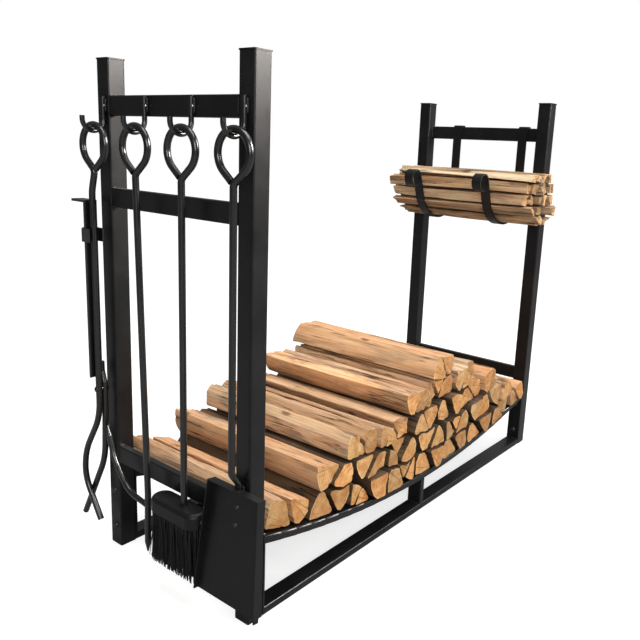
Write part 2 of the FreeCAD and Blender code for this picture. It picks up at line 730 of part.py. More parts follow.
pieces["poker_shaft"] = poker_shaft()
pieces["poker_barb"] = poker_barb()
pieces["brush_shaft"] = brush_shaft()
pieces["brush_head"] = brush_head()
pieces["brush_set_screw"] = brush_set_screw()
pieces["brush_bristles"] = brush_bristles()
pieces["shovel_shaft"] = shovel_shaft()
pieces["shovel_pan"] = shovel_pan()
pieces["shovel_rivets"] = shovel_rivets()
pieces["tongs_ring_arm"] = tongs_ring_arm()
pieces["tongs_thumb_arm"] = tongs_thumb_arm()
pieces["tongs_guide_fork"] = tongs_guide_fork()
pieces["tongs_pivot_rivet"] = tongs_pivot_rivet()

for holder_name, share in zip(("rear", "front"), holder_places):
    pieces[holder_name + "_kindling_holder"] = kindling_holder(share * bar_end_y)
pieces["kindling_sticks"] = kindling_sticks()
for level, (first_step, last_step) in enumerate(log_courses):
    pieces["log_course_" + str(level + 1)] = log_course_shape(level, first_step, last_step)

# ---- the origin is at the bottom centre of the bounding box ----
whole = FreeCAD.BoundBox()
for shape in pieces.values():
    whole.add(shape.optimalBoundingBox(False, False))
origin_shift = vector(-whole.Center.x, -whole.Center.y, -whole.ZMin)

os.makedirs("parts", exist_ok=True)
for name, shape in pieces.items():
    shape.translate(origin_shift)
    shape.exportStep("parts/" + name + ".step")
print("pieces", len(pieces), "size", whole.XLength, whole.YLength, whole.ZLength, "shift", origin_shift)
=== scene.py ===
import json
import math
import random

import bmesh
import bpy
import numpy as np
from mathutils import Matrix, Vector, noise


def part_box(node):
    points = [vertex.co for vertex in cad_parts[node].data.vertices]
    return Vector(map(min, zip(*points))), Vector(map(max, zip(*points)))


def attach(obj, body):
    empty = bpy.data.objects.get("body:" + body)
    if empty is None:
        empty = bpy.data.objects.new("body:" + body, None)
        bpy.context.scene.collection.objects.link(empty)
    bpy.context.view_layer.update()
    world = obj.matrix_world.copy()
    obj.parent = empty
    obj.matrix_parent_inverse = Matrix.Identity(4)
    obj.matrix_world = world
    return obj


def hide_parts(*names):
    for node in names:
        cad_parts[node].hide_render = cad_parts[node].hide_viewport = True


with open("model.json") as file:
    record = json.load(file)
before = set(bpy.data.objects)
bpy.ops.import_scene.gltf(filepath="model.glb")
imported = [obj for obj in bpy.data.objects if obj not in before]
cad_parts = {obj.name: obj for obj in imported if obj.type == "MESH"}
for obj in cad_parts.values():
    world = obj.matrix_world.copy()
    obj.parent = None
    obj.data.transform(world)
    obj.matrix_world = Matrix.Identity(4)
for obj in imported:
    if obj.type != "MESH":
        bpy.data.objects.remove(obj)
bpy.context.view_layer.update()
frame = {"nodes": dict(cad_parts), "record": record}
nodes = frame["nodes"]
record = frame["record"]

# ---- places worked out from the frame ----
near_low, near_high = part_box("near_front_post")
far_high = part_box("far_rear_post")[1]
middle_x = (near_low.x + far_high.x) / 2
middle_y = (near_low.y + far_high.y) / 2

# ---- studio colours and strengths ----
white = (1.0, 1.0, 1.0, 1)
warm_white = (1.0, 0.985, 0.96)
sky_in_gloss = 0.40
floor_grey = (0.32, 0.32, 0.32)
floor_grey_to_camera = (0.45, 0.45, 0.45)
floor_glow_to_camera = 0.70
floor_reach = 12.0
floor_drop = 0.0006


# ---- meshes ----
def add_mesh(name, points, faces, material, smooth=True):
    mesh = bpy.data.meshes.new(name)
    mesh.from_pydata([tuple(point) for point in points], [], faces)
    if smooth:
        mesh.shade_smooth()
    mesh.materials.append(material)
    piece = bpy.data.objects.new(name, mesh)
    bpy.context.scene.collection.objects.link(piece)
    return piece


def tube_faces(first, steps, sides):
    """The skin and two flat ends of a tube whose rings run anticlockwise about its heading."""
    faces = []
    for step in range(steps):
        for turn in range(sides):
            a = first + step * sides + turn
            b = first + step * sides + (turn + 1) % sides
            faces.append((a, b, b + sides, a + sides))
    faces.append(tuple(first + turn for turn in reversed(range(sides))))
    faces.append(tuple(first + steps * sides + turn for turn in range(sides)))
    return faces


# ---- camera, lights and floor ----
def add_camera():
    """The photograph's viewpoint, fitted to the tubes' edges and measured from the footprint's middle."""
    place = Vector((middle_x - 1.0373, middle_y - 0.7922, 0.6551))
    azimuth = math.radians(-52.72)
    pitch = math.radians(-12.30)
    roll = math.radians(2.67)
    forward = Vector((
        -math.sin(azimuth) * math.cos(pitch),
        math.cos(azimuth) * math.cos(pitch),
        math.sin(pitch),
    ))
    level_right = Vector((math.cos(azimuth), math.sin(azimuth), 0))
    level_up = level_right.cross(forward)
    right = level_right * math.cos(roll) + level_up * math.sin(roll)
    up = level_up * math.cos(roll) - level_right * math.sin(roll)
    data = bpy.data.cameras.new("camera")
    data.sensor_width = 36.0
    data.lens = 39.72
    data.shift_x = -0.066
    data.shift_y = -0.030
    data.clip_end = 50.0
    camera = bpy.data.objects.new("camera", data)
    camera.matrix_world = Matrix((
        (right.x, up.x, -forward.x, place.x),
        (right.y, up.y, -forward.y, place.y),
        (right.z, up.z, -forward.z, place.z),
        (0, 0, 0, 1),
    ))
    bpy.context.scene.collection.objects.link(camera)
    bpy.context.scene.camera = camera


def add_area_light(name, place, target, size, power, colour):
    data = bpy.data.lights.new(name, "AREA")
    data.shape = "RECTANGLE"
    data.size = size[0]
    data.size_y = size[1]
    data.energy = power
    data.color = colour
    light = bpy.data.objects.new(name, data)
    light.location = place
    light.rotation_euler = (Vector(target) - Vector(place)).to_track_quat("-Z", "Y").to_euler()
    bpy.context.scene.collection.objects.link(light)
    return light


def add_world():
    """White to the camera. What the rack reflects is bright above the horizon and dark below it."""
    world = bpy.data.worlds.new("studio")
    world.use_nodes = True
    tree = world.node_tree
    background = tree.nodes["Background"]
    background.inputs["Color"].default_value = white
    parts = tree.nodes.new("ShaderNodeSeparateXYZ")
    tree.links.new(tree.nodes.new("ShaderNodeTexCoord").outputs["Generated"], parts.inputs["Vector"])
    sky = spread(tree, parts.outputs["Z"], -0.10, 0.35, 0.05, 1.0)
    towards = math_node(tree, "SUBTRACT", math_node(tree, "MULTIPLY", parts.outputs["X"], 0.75),
                        math_node(tree, "MULTIPLY", parts.outputs["Y"], 0.66))
    sky = math_node(tree, "MULTIPLY", sky, spread(tree, towards, -0.8, 1.0, 0.55, 1.25))
    rays = tree.nodes.new("ShaderNodeLightPath").outputs
    sky = math_node(tree, "MULTIPLY", sky, mix_value(tree, rays["Is Glossy Ray"], 1.0, sky_in_gloss))
    put(tree, mix_value(tree, rays["Is Camera Ray"], sky, 1.0), background.inputs["Strength"])
    bpy.context.scene.world = world


def add_floor():
    """A pale floor just under the feet, brighter to the camera than to everything else."""
    material, tree, shader = blank_material("floor_pale")
    is_camera = tree.nodes.new("ShaderNodeLightPath").outputs["Is Camera Ray"]
    put(tree, mix_colour(tree, is_camera, floor_grey, floor_grey_to_camera), shader.inputs["Base Color"])
    shader.inputs["Roughness"].default_value = 0.9
    shader.inputs["Specular IOR Level"].default_value = 0.0
    shader.inputs["Emission Color"].default_value = white
    put(tree, mix_value(tree, is_camera, 0.0, floor_glow_to_camera), shader.inputs["Emission Strength"])
    far = floor_reach
    corners = [(-far, -far, 0), (far, -far, 0), (far, far, 0), (-far, far, 0)]
    floor = add_mesh("floor", corners, [(0, 1, 2, 3)], material, smooth=False)
    floor.location = (middle_x, middle_y, -floor_drop)


def add_studio():
    bpy.context.scene.view_settings.view_transform = "Standard"
    add_world()
    add_floor()
    target = (middle_x, middle_y, 0.35)
    overhead = (middle_x + 0.1, middle_y - 0.5, 2.6)
    add_area_light("overhead", overhead, target, (1.8, 1.5), 50.0, warm_white)
    behind_camera = (middle_x - 2.3, middle_y - 2.1, 1.5)
    add_area_light("behind_camera", behind_camera, target, (1.5, 1.3), 46.0, warm_white)
    # a softbox that only makes highlights, for the near posts to reflect near their tops
    place = (middle_x + 0.80, middle_y - 1.60, 1.50)
    post_top = (near_low.x, near_low.y, near_high.z)
    softbox = add_area_light("softbox", place, post_top, (0.9, 0.8), 150.0, (1.0, 0.94, 0.89))
    softbox.visible_diffuse = False


# ---- material helpers ----
def blank_material(name):
    material = bpy.data.materials.new(name)
    material.use_nodes = True
    return material, material.node_tree, material.node_tree.nodes["Principled BSDF"]


def put(tree, value, socket):
    """Feed a socket from another socket, or set it to a constant."""
    if isinstance(value, bpy.types.NodeSocket):
        tree.links.new(value, socket)
    else:
        socket.default_value = value


def math_node(tree, operation, first, second=0.0, third=None):
    node = tree.nodes.new("ShaderNodeMath")
    node.operation = operation
    put(tree, first, node.inputs[0])
    put(tree, second, node.inputs[1])
    if third is not None:
        put(tree, third, node.inputs[2])
    return node.outputs[0]


def mix_colour(tree, factor, first, second, blend="MIX"):
    node = tree.nodes.new("ShaderNodeMix")
    node.data_type = "RGBA"
    node.blend_type = blend
    put(tree, factor, node.inputs["Factor"])
    put(tree, first if not isinstance(first, tuple) else (*first, 1), node.inputs["A"])
    put(tree, second if not isinstance(second, tuple) else (*second, 1), node.inputs["B"])
    return node.outputs["Result"]


def mix_value(tree, factor, first, second):
    node = tree.nodes.new("ShaderNodeMix")
    put(tree, factor, node.inputs["Factor"])
    put(tree, first, node.inputs["A"])
    put(tree, second, node.inputs["B"])
    return node.outputs["Result"]


def spread(tree, value, low, high, to_low=0.0, to_high=1.0):
    """Map a stretch of values onto another, and hold the ends."""
    node = tree.nodes.new("ShaderNodeMapRange")
    put(tree, value, node.inputs["Value"])
    node.inputs["From Min"].default_value = low
    node.inputs["From Max"].default_value = high
    node.inputs["To Min"].default_value = to_low
    node.inputs["To Max"].default_value = to_high
    return node.outputs["Result"]


def stretched(tree, vector, scale, offset=(0, 0, 0)):
    node = tree.nodes.new("ShaderNodeMapping")
    put(tree, vector, node.inputs["Vector"])
    node.inputs["Scale"].default_value = scale
    node.inputs["Location"].default_value = offset
    return node.outputs["Vector"]


def noise_value(tree, vector, scale=1.0, detail=4.0, roughness=0.55, distortion=0.0):
    node = tree.nodes.new("ShaderNodeTexNoise")
    put(tree, vector, node.inputs["Vector"])
    node.inputs["Scale"].default_value = scale
    node.inputs["Detail"].default_value = detail
    node.inputs["Roughness"].default_value = roughness
    node.inputs["Distortion"].default_value = distortion
    return node.outputs["Fac"]


def object_place(tree):
    return tree.nodes.new("ShaderNodeTexCoord").outputs["Object"]


def attribute(tree, name, output):
    node = tree.nodes.new("ShaderNodeAttribute")
    node.attribute_name = name
    return node.outputs[output]


def add_bump(tree, shader, height, strength, distance):
    node = tree.nodes.new("ShaderNodeBump")
    node.inputs["Strength"].default_value = strength
    node.inputs["Distance"].default_value = distance
    put(tree, height, node.inputs["Height"])
    tree.links.new(node.outputs["Normal"], shader.inputs["Normal"])


# ---- materials ----
steel_dust = (0.16, 0.15, 0.14)
red_streak = (0.64, 0.30, 0.14)
bark_side = (0.46, 0.29, 0.15)
bark_rim = (0.90, 0.64, 0.36)
fleck_brown = (0.16, 0.062, 0.026)
knot_brown = (0.13, 0.05, 0.022)
crack_brown = (0.035, 0.016, 0.008)
redder_tint = (1.10, 0.93, 0.80)
cooler_tint = (0.96, 0.99, 1.02)


def coated_steel(name, dark, light, roughness, specular, texture_size, bump, gloss_coat=0.0):
    """Black coating on steel: fine orange peel, uneven gloss and a little dust."""
    material, tree, shader = blank_material(name)
    place = object_place(tree)
    peel = noise_value(tree, place, 1 / texture_size, 3.0, 0.5)
    cloud = noise_value(tree, place, 14.0, 4.0, 0.6)
    dust = spread(tree, noise_value(tree, place, 160.0, 5.0, 0.7), 0.62, 0.80)
    colour = mix_colour(tree, spread(tree, cloud, 0.35, 0.7), dark, light)
    colour = mix_colour(tree, math_node(tree, "MULTIPLY", dust, 0.10), colour, steel_dust)
    put(tree, colour, shader.inputs["Base Color"])
    gloss = math_node(tree, "ADD", math_node(tree, "MULTIPLY", peel, 0.35),
                      math_node(tree, "MULTIPLY", cloud, 0.65))
    put(tree, spread(tree, gloss, 0.35, 0.65, *roughness), shader.inputs["Roughness"])
    shader.inputs["Specular IOR Level"].default_value = specular
    shader.inputs["Coat Weight"].default_value = gloss_coat
    shader.inputs["Coat Roughness"].default_value = 0.14
    add_bump(tree, shader, peel, bump, 0.0004)
    return material


def bright_steel(name, colour, rough):
    """Bare steel with fine scratches."""
    material, tree, shader = blank_material(name)
    scratches = noise_value(tree, stretched(tree, object_place(tree), (900, 90, 900)), 1.0, 3.0, 0.6)
    scratched = tuple(channel * 0.7 for channel in colour)
    put(tree, mix_colour(tree, scratches, colour, scratched), shader.inputs["Base Color"])
    shader.inputs["Metallic"].default_value = 1.0
    put(tree, spread(tree, scratches, 0.3, 0.7, rough, rough + 0.2), shader.inputs["Roughness"])
    add_bump(tree, shader, scratches, 0.2, 0.0002)
    return material


def bristle_material():
    material, tree, shader = blank_material("bristle_black")
    streak = noise_value(tree, stretched(tree, object_place(tree), (700, 700, 20)), 1.0, 3.0, 0.6)
    colour = mix_colour(tree, streak, (0.002, 0.002, 0.003), (0.010, 0.011, 0.014))
    put(tree, colour, shader.inputs["Base Color"])
    put(tree, spread(tree, streak, 0.3, 0.7, 0.45, 0.65), shader.inputs["Roughness"])
    shader.inputs["Specular IOR Level"].default_value = 0.25
    return material


def wood_material(name, side_colours, end_colours, ring_width):
    """Split wood. The meshes carry where each point lies from its own pith, along its own fibres."""
    pale, warm, dark, weathered = side_colours
    end_pale, end_warm, end_dark = end_colours
    material, tree, shader = blank_material(name)
    grain = attribute(tree, "grain", "Vector")
    chance = attribute(tree, "chance", "Fac")
    at_end = attribute(tree, "end_face", "Fac")
    # painted shade that the mesh carries: torn hollows, undersides and buried sides
    shade = attribute(tree, "shade", "Fac")
    bark = attribute(tree, "bark", "Fac")

    def grain_noise(across, along, detail, roughness, distortion=0.0, offset=(0, 0, 0)):
        """Noise with so many cells per metre across the fibres and along them."""
        place = stretched(tree, grain, (across, along, across), offset)
        return noise_value(tree, place, 1.0, detail, roughness, distortion)

    fibres = grain_noise(620, 17, 5.0, 0.62, 0.25)
    streaks = grain_noise(95, 3.2, 4.0, 0.62, 0.8)
    patches = grain_noise(30, 7.5, 3.0, 0.6, 0.6, (3, 1, 7))
    reds = grain_noise(40, 4.0, 2.0, 0.5, 0.4, (11, 5, 2))

    # split faces: pale and warm streaks, dark torn fibres, grey weathered patches
    side = mix_colour(tree, spread(tree, streaks, 0.38, 0.60), pale, warm)
    side = mix_colour(tree, spread(tree, reds, 0.52, 0.68, 0.0, 0.45), side, red_streak)
    side = mix_colour(tree, spread(tree, fibres, 0.50, 0.74, 0.0, 0.62), side, dark)
    grey_limit = math_node(tree, "SUBTRACT", 0.68, math_node(tree, "MULTIPLY", chance, 0.26))
    grey = spread(tree, math_node(tree, "SUBTRACT", patches, grey_limit), 0.0, 0.10, 0.0, 0.75)
    side = mix_colour(tree, grey, side, mix_colour(tree, spread(tree, fibres, 0.45, 0.65), weathered, dark))
    side = mix_colour(tree, math_node(tree, "MULTIPLY", bark, 0.40), side, bark_side)
    # short dark flecks and long cracks along the fibres, and small knots
    flecks = grain_noise(170, 14, 2.0, 0.5, 0.3, (2, 6, 3))
    side = mix_colour(tree, spread(tree, flecks, 0.66, 0.74, 0.0, 0.75), side, fleck_brown)
    lines = grain_noise(60, 1.6, 3.0, 0.6, 0.5, (1, 9, 4))
    off_line = math_node(tree, "ABSOLUTE", math_node(tree, "SUBTRACT", lines, 0.5))
    cracks = math_node(tree, "MULTIPLY", spread(tree, off_line, 0.004, 0.016, 1.0, 0.0),
                       spread(tree, patches, 0.42, 0.55))
    knots = tree.nodes.new("ShaderNodeTexVoronoi")
    put(tree, stretched(tree, grain, (24, 11, 24), (5, 2, 8)), knots.inputs["Vector"])
    knots.inputs["Scale"].default_value = 1.0
    knot = spread(tree, knots.outputs["Distance"], 0.07, 0.15, 1.0, 0.0)
    side = mix_colour(tree, math_node(tree, "MULTIPLY", knot, 0.75), side, knot_brown)
    side = mix_colour(tree, math_node(tree, "MULTIPLY", cracks, 0.85), side, crack_brown)

    # sawn ends: growth rings about the pith, radial checks, and a paler rim under the bark
    parts = tree.nodes.new("ShaderNodeSeparateXYZ")
    tree.links.new(grain, parts.inputs["Vector"])
    across, up = parts.outputs["X"], parts.outputs["Z"]
    squares = math_node(tree, "ADD", math_node(tree, "MULTIPLY", across, across),
                        math_node(tree, "MULTIPLY", up, up))
    reach = math_node(tree, "SQRT", squares)
    wander = grain_noise(60, 60, 3.0, 0.5)
    ring_place = math_node(tree, "ADD", reach, math_node(tree, "MULTIPLY", wander, ring_width * 1.5))
    rings = math_node(tree, "SINE", math_node(tree, "MULTIPLY", ring_place, 2 * math.pi / ring_width))
    rings = spread(tree, rings, -1.0, 1.0)
    angle = math_node(tree, "ARCTAN2", up, across)
    rays = tree.nodes.new("ShaderNodeTexNoise")
    rays.noise_dimensions = "1D"
    turn = math_node(tree, "ADD", math_node(tree, "MULTIPLY", angle, 9.0),
                     math_node(tree, "MULTIPLY", chance, 50.0))
    put(tree, turn, rays.inputs["W"])
    rays.inputs["Scale"].default_value = 1.0
    rays.inputs["Detail"].default_value = 5.0
    checks = spread(tree, rays.outputs["Fac"], 0.62, 0.68)
    blotch = grain_noise(55, 55, 4.0, 0.65)
    saw = noise_value(tree, stretched(tree, grain, (120, 120, 900)), 1.0, 3.0, 0.6)
    end = mix_colour(tree, spread(tree, blotch, 0.36, 0.62), end_pale, end_warm)
    end = mix_colour(tree, spread(tree, reach, 0.004, 0.030, 0.55, 0.0), end, end_warm)
    end = mix_colour(tree, math_node(tree, "MULTIPLY", rings, 0.18), end, end_dark)
    end = mix_colour(tree, spread(tree, saw, 0.50, 0.75, 0.0, 0.22), end, end_dark)
    end = mix_colour(tree, math_node(tree, "MULTIPLY", bark, 0.60), end, bark_rim)
    end = mix_colour(tree, math_node(tree, "MULTIPLY", checks, 0.35), end, end_dark)

    # each piece has its own tint and tone, and the mesh says where painted shade darkens it
    colour = mix_colour(tree, at_end, side, end)
    other_chance = math_node(tree, "FRACT", math_node(tree, "MULTIPLY", chance, 7.31))
    tint = mix_colour(tree, other_chance, redder_tint, cooler_tint)
    colour = mix_colour(tree, 1.0, colour, tint, "MULTIPLY")
    tone = math_node(tree, "MULTIPLY_ADD", chance, 0.46, 0.66)
    # the tone takes the painted shade from the mesh
    tone = math_node(tree, "MULTIPLY", tone, shade)
    gray = tree.nodes.new("ShaderNodeCombineColor")
    for channel in gray.inputs:
        put(tree, tone, channel)
    colour = mix_colour(tree, 1.0, colour, gray.outputs["Color"], "MULTIPLY")
    put(tree, colour, shader.inputs["Base Color"])
    put(tree, spread(tree, fibres, 0.3, 0.7, 0.70, 0.90), shader.inputs["Roughness"])
    shader.inputs["Specular IOR Level"].default_value = 0.2
    end_height = math_node(tree, "ADD", math_node(tree, "MULTIPLY", rings, 0.4),
                           math_node(tree, "MULTIPLY", saw, 0.8))
    end_height = math_node(tree, "SUBTRACT", end_height, checks)
    side_height = math_node(tree, "ADD", fibres, math_node(tree, "MULTIPLY", streaks, 1.6))
    side_height = math_node(tree, "SUBTRACT", side_height, cracks)
    add_bump(tree, shader, mix_value(tree, at_end, side_height, end_height), 0.8, 0.0016)
    return material


# ---- split wood, one detailed piece for each CAD solid ----
def solids_of(node_name):
    """The separate solids of a CAD node, each as (outline in X and Z, lowest Y, highest Y)."""
    work = bmesh.new()
    work.from_mesh(nodes[node_name].data)
    bmesh.ops.remove_doubles(work, verts=work.verts, dist=1e-5)
    left = set(work.verts)
    solids = []
    while left:
        island = []
        queue = [left.pop()]
        while queue:
            vertex = queue.pop()
            island.append(vertex.co.copy())
            for edge in vertex.link_edges:
                other = edge.other_vert(vertex)
                if other in left:
                    left.remove(other)
                    queue.append(other)
        low_y = min(point.y for point in island)
        high_y = max(point.y for point in island)
        outline = [Vector((point.x, point.z)) for point in island if point.y < low_y + 1e-4]
        centre = sum(outline, Vector((0, 0))) / len(outline)
        outline.sort(key=lambda point: math.atan2(point.y - centre.y, point.x - centre.x))
        solids.append((outline, low_y, high_y))
    work.free()
    solids.sort(key=lambda solid: (round(solid[0][0].x, 4), round(solid[0][0].y, 4)))
    return solids


def inner_angle(outline, index):
    before = outline[index - 1] - outline[index]
    after = outline[(index + 1) % len(outline)] - outline[index]
    return before.angle(after)


def rounded_outline(corners, radii, spacing):
    """Points round a closed outline whose corners are rounded, about one spacing apart."""
    count = len(corners)
    runs = []
    for index, corner in enumerate(corners):
        before = corners[index - 1] - corner
        after = corners[(index + 1) % count] - corner
        half = before.angle(after) / 2
        reach = min(radii[index] / math.tan(half), 0.47 * before.length, 0.47 * after.length)
        start = corner + before.normalized() * reach
        end = corner + after.normalized() * reach
        runs.append((start, corner, end))
    points = []
    for index, (start, corner, end) in enumerate(runs):
        steps = max(2, int((end - start).length / spacing) + 1)
        for step in range(steps):
            t = step / steps
            points.append(start * (1 - t) ** 2 + corner * 2 * t * (1 - t) + end * t ** 2)
        following = runs[(index + 1) % count][0]
        steps = max(1, int(round((following - end).length / spacing)))
        for step in range(steps):
            points.append(end.lerp(following, step / steps))
    return points


class WoodBuilder:
    """Collects split pieces into one mesh, with what their material needs at each point."""

    def __init__(self):
        self.points = []
        self.faces = []
        self.grain = []
        self.chance = []
        self.end_face = []
        self.shade = []
        self.bark = []

    def add_point(self, point, grain, chance, end_face, shade, bark):
        self.points.append(point)
        self.grain.append(grain)
        self.chance.append(chance)
        self.end_face.append(end_face)
        self.shade.append(shade)
        self.bark.append(bark)

    def add_piece(self, corners, low_y, high_y, chance, look):
        """A split log or stick inside its outline. One corner is its pith, and bark side curves about it."""
        centre = sum(corners, Vector((0, 0))) / len(corners)
        size = sum((corner - centre).length for corner in corners) / len(corners)
        shrink = chance.uniform(*look["shrink"])
        turn = Matrix.Rotation(chance.uniform(-1, 1) * look["turn"], 2)
        corners = [centre + (turn @ (corner - centre)) * shrink for corner in corners]
        angles = [inner_angle(corners, index) + chance.uniform(0, 0.7) for index in range(len(corners))]
        pith = corners[angles.index(min(angles))]
        farthest = max((corner - pith).length for corner in corners)
        bark_radius = farthest * chance.uniform(*look["bark_radius"])
        radii = [size * chance.uniform(*look["corner"]) for _ in corners]
        outline = rounded_outline(corners, radii, look["spacing"])
        bark = []
        for index, point in enumerate(outline):
            reach = (point - pith).length
            bark.append(1.0 if reach > bark_radius * 0.985 else 0.0)
            if reach > bark_radius:
                outline[index] = pith + (point - pith) * (bark_radius / reach)
        centre = sum(outline, Vector((0, 0))) / len(outline)
        ring_size = len(outline)
        normals = []
        for index in range(ring_size):
            along = outline[(index + 1) % ring_size] - outline[index - 2]
            normals.append(Vector((along.y, -along.x)).normalized())

        luck = chance.random()
        seed = Vector((chance.uniform(0, 90), chance.uniform(0, 90), chance.uniform(0, 90)))
        bow = Vector((chance.uniform(-1, 1), chance.uniform(-1, 1))) * look["bow"]
        twist = chance.uniform(-1, 1) * look["twist"]
        taper = chance.uniform(-1, 1) * look["taper"]
        slants = [Vector((chance.uniform(-1, 1), chance.uniform(-1, 1))) * look["slant"] for _ in range(2)]
        grain_offset = Vector((luck * 7.0, luck * 3.0, luck * 5.0))
        length = high_y - low_y

        def place(index, along, inset=0.0):
            """A point on the skin, or inset towards the middle of an end."""
            flat = outline[index]
            share = along * 2 - 1
            ridge = noise.noise(Vector((flat.x * look["ridge"], along * 1.6, flat.y * look["ridge"])) + seed)
            coarse = noise.noise(Vector((flat.x * 34, along * 3.0, flat.y * 34)) + seed * 1.7)
            torn = noise.noise(Vector((flat.x * 90, along * 4.5, flat.y * 90)) + seed * 0.6)
            smooth = 1.0 - 0.65 * bark[index]
            sink = look["rough"] * (1.0 + ridge) + look["coarse"] * (0.6 + coarse)
            sink += look["torn"] * max(0.0, torn - 0.12)
            skin = flat - normals[index] * sink * smooth
            inside = centre + (skin - centre) * (1 - inset) * (1 - abs(taper) * 0.5 + taper * share * 0.5)
            return centre + Matrix.Rotation(twist * share, 2) @ (inside - centre) + bow * (1 - share * share)

        def end_shift(flat, side):
            """How far an end's sawn face stands back at one place."""
            slant = slants[side]
            tilt = (flat - centre).dot(slant)
            saw = noise.noise(Vector((flat.x * 160, side * 9.0, flat.y * 160)) + seed) * look["saw"]
            torn = noise.noise(Vector((flat.x * 70, side * 5.0, flat.y * 70)) + seed)
            torn = max(0.0, torn) * look["splinter"]
            return tilt + saw + torn + size * 1.3 * (abs(slant.x) + abs(slant.y)) + look["saw"]

        base = len(self.points)
        for station in range(look["stations"] + 1):
            along = station / look["stations"]
            for index in range(ring_size):
                flat = place(index, along)
                if station == 0:
                    y = low_y + end_shift(flat, 0)
                elif station == look["stations"]:
                    y = high_y - end_shift(flat, 1)
                else:
                    y = min(max(low_y + length * along, low_y + look["end_zone"]), high_y - look["end_zone"])
                depth = Vector((flat.x - pith.x, y, flat.y - pith.y)) + grain_offset
                # painted shade in the hollows where fibres are torn out
                hollow = noise.noise(Vector((flat.x * 90, along * 4.5, flat.y * 90)) + seed * 0.6)
                shade = 1.0 - look["crevice"] * max(0.0, hollow - 0.05)
                # painted shade on undersides, and on all sides of pieces that other logs lie on
                under = min(1.0, max(0.0, (0.15 - normals[index].y) / 0.6))
                shade *= look["open"] * (1.0 - look["under"] * under)
                self.add_point((flat.x, y, flat.y), depth, luck, 0.0, shade, bark[index])
        for station in range(look["stations"]):
            for index in range(ring_size):
                here = base + station * ring_size + index
                beside = base + station * ring_size + (index + 1) % ring_size
                self.faces.append((here, beside, beside + ring_size, here + ring_size))

        for side, along in ((0, 0.0), (1, 1.0)):
            previous = None
            for inset in look["end_rings"]:
                first = len(self.points)
                for index in range(ring_size):
                    flat = place(index, along, inset)
                    shift = end_shift(flat, side)
                    y = low_y + shift if side == 0 else high_y - shift
                    depth = Vector((flat.x - pith.x, luck * 9.0, flat.y - pith.y))
                    rim = bark[index] if inset < 0.08 else 0.0
                    self.add_point((flat.x, y, flat.y), depth, luck, 1.0, 1.0, rim)
                if previous is not None:
                    for index in range(ring_size):
                        after = (index + 1) % ring_size
                        quad = (previous + index, first + index, first + after, previous + after)
                        self.faces.append(quad if side == 1 else quad[::-1])
                previous = first
            flat = place(0, along, 1.0)
            shift = end_shift(flat, side)
            y = low_y + shift if side == 0 else high_y - shift
            hub = len(self.points)
            depth = Vector((flat.x - pith.x, luck * 9.0, flat.y - pith.y))
            self.add_point((flat.x, y, flat.y), depth, luck, 1.0, 1.0, 0.0)
            for index in range(ring_size):
                after = (index + 1) % ring_size
                triangle = (previous + index, hub, previous + after)
                self.faces.append(triangle if side == 1 else triangle[::-1])

    def finish(self, name, material):
        piece = add_mesh(name, self.points, self.faces, material)
        mesh = piece.data
        for label in ("chance", "end_face", "shade", "bark"):
            layer = mesh.attributes.new(label, "FLOAT", "POINT")
            layer.data.foreach_set("value", np.array(getattr(self, label), np.float32))
        layer = mesh.attributes.new("grain", "FLOAT_VECTOR", "POINT")
        layer.data.foreach_set("vector", np.array([tuple(v) for v in self.grain], np.float32).ravel())
        mesh.set_sharp_from_angle(angle=math.radians(38))
        mesh.validate()
        return piece


# Lengths are in metres, angles in radians. A pair is the range that a piece's own value is drawn from.
log_look = {
    "corner": (0.10, 0.36),            # corner radius, as a share of the piece's size
    "shrink": (0.89, 0.98),            # size, as a share of the CAD outline
    "turn": 0.07,                      # turn about its own length, either way
    "bark_radius": (0.76, 0.92),       # bark's distance from the pith, as a share of the farthest corner's
    "spacing": 0.0027,                 # between points round the outline
    "stations": 24,                    # steps along the length
    "bow": 0.0016,                     # how far the middle stands off a straight line
    "twist": 0.03,                     # of one end against the middle
    "taper": 0.05,                     # change of width from end to end
    "slant": 0.04,                     # slope of the sawn ends
    "ridge": 230.0,                    # ridges per metre across the fibres
    "rough": 0.0007,                   # their depth
    "coarse": 0.0011,                  # depth of the broader waves
    "torn": 0.0075,                    # depth where fibres are torn out
    "saw": 0.0006,                     # roughness of the sawn ends
    "splinter": 0.0015,                # how far splinters are missing at the ends
    "end_zone": 0.006,                 # length kept for an end's slant and splinters
    "end_rings": (0.0, 0.07, 0.10, 0.5),  # rings of points on an end, as shares of the way inwards
    "crevice": 0.5,                    # painted shade where fibres are torn out
    "under": 0.22,                     # painted shade on the underside
    "open": 1.0,                       # painted light on the sides: 1 in the open, less where painted shade stands for logs lying on top
    "split": 0.75,                     # share of the outlines that are split in two
}
# logs with others lying on them: strong painted shade on their sides and undersides
buried_look = dict(log_look)
buried_look.update(shrink=(0.86, 0.96), torn=0.0030, coarse=0.0007, open=0.20, split=0.50, under=0.6)
stick_look = dict(log_look)
stick_look.update(corner=(0.04, 0.16), shrink=(0.90, 1.04), turn=0.30, bark_radius=(0.86, 1.05))
stick_look.update(spacing=0.0021, stations=26, bow=0.0030, twist=0.30, taper=0.22, slant=0.16)
stick_look.update(ridge=420.0, rough=0.0005, coarse=0.0010, torn=0.0045, saw=0.0010, splinter=0.0090)
stick_look.update(end_zone=0.012, end_rings=(0.0, 0.10, 0.14, 0.55), crevice=0.9, under=0.25, split=0.30)


